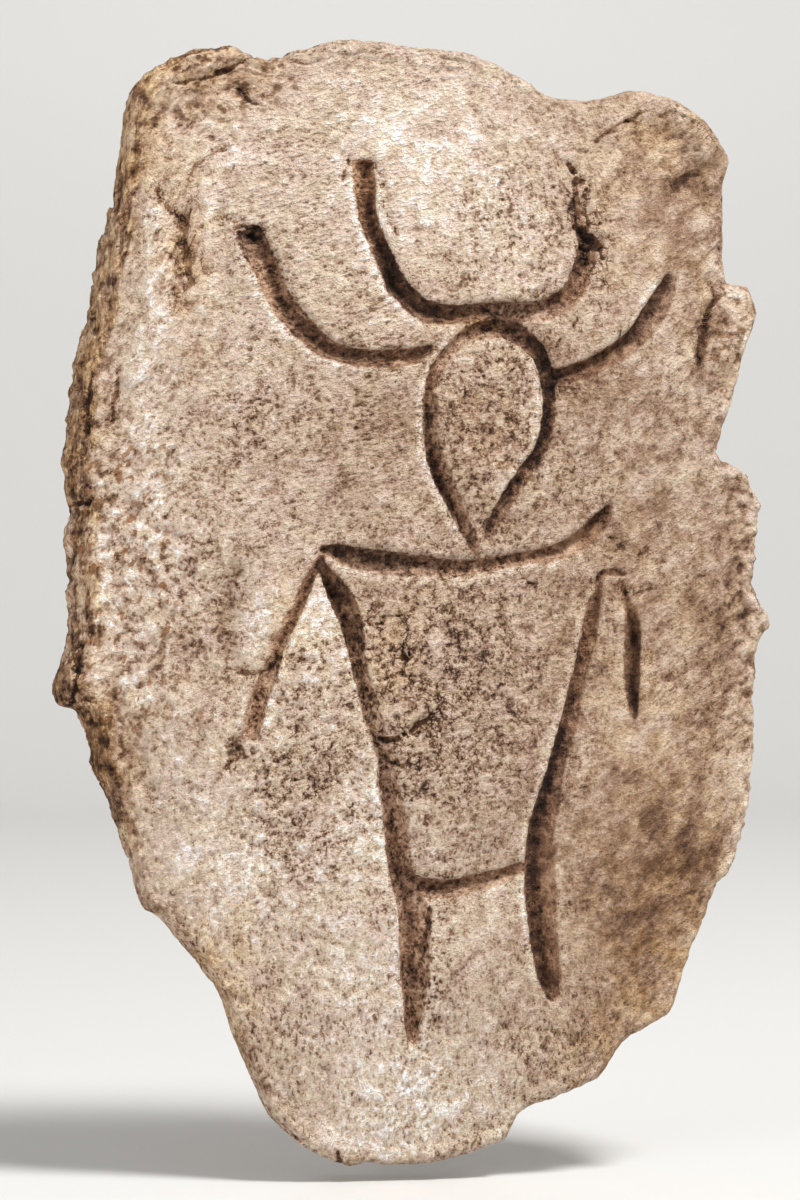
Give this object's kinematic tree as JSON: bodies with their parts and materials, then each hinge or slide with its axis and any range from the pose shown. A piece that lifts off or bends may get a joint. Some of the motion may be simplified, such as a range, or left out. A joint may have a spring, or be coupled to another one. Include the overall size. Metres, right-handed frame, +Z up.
{
  "type": "petroglyph wall plaque",
  "caption": "Ragged sandstone-look wall plaque with a domed front, a horned stick figure cut into it as grooves, and a flat back.",
  "frame": {"origin": "middle of the flat back, where the slab meets the wall", "axes": "+Z up along the slab's height, +Y out of the back into the wall, so that the carved front faces -Y; +X to the right seen from the front"},
  "size_m": [0.1537, 0.0246, 0.2391],
  "materials": {
    "weathered_stone": "matt, pitted, pinkish-beige with cream dry-brushed highlights and a dark umber wash in pits and grooves"
  },
  "bodies": {
    "root": {"plaque_slab": "weathered_stone"}
  },
  "joints": []
}
